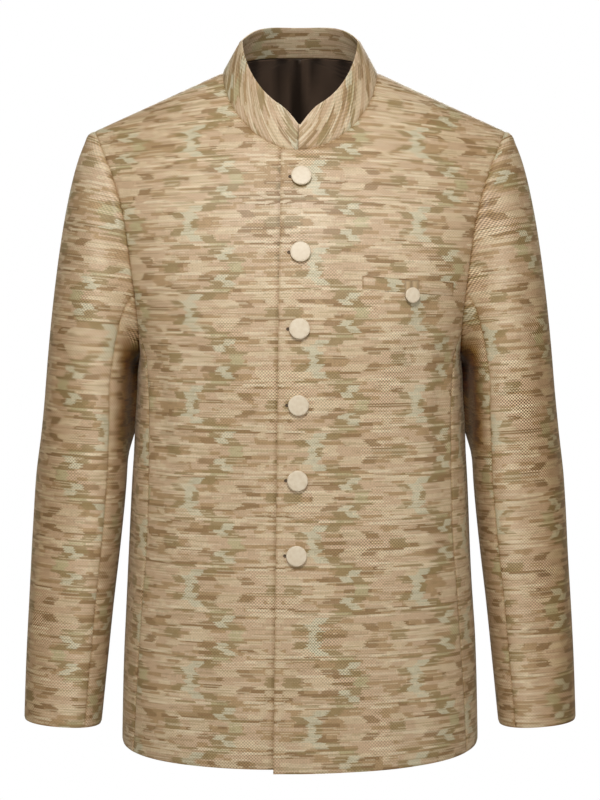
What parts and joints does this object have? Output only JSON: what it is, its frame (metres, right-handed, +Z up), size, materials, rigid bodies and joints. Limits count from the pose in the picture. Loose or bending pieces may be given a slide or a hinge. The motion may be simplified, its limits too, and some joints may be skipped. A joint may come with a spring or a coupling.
{
  "type": "bandhgala jacket",
  "caption": "Hip-length tailored jacket with a stand collar, a buttoned front, long set-in sleeves and a chest pocket, in the hollow form of a worn garment.",
  "frame": {"origin": "middle of the neck base, level with the side neck points", "axes": "+Z up the body, -Y out of the fronts, +X towards the wearer's left"},
  "size_m": [0.6016, 0.2607, 0.792],
  "materials": {
    "brocade": "silk brocade",
    "satin": "satin lining",
    "cream": "satin"
  },
  "bodies": {
    "root": {"front_left": "brocade", "front_right": "brocade", "side_left": "brocade", "side_right": "brocade", "back_left": "brocade", "back_right": "brocade", "top_sleeve_left": "brocade", "top_sleeve_right": "brocade", "under_sleeve_left": "brocade", "under_sleeve_right": "brocade", "collar": "brocade", "pocket_welt": "brocade", "pocket_loop": "brocade", "back_lining": "satin", "pocket_button": "cream", "button_1": "cream", "button_2": "cream", "button_3": "cream", "button_4": "cream", "button_5": "cream", "button_6": "cream"}
  },
  "joints": []
}
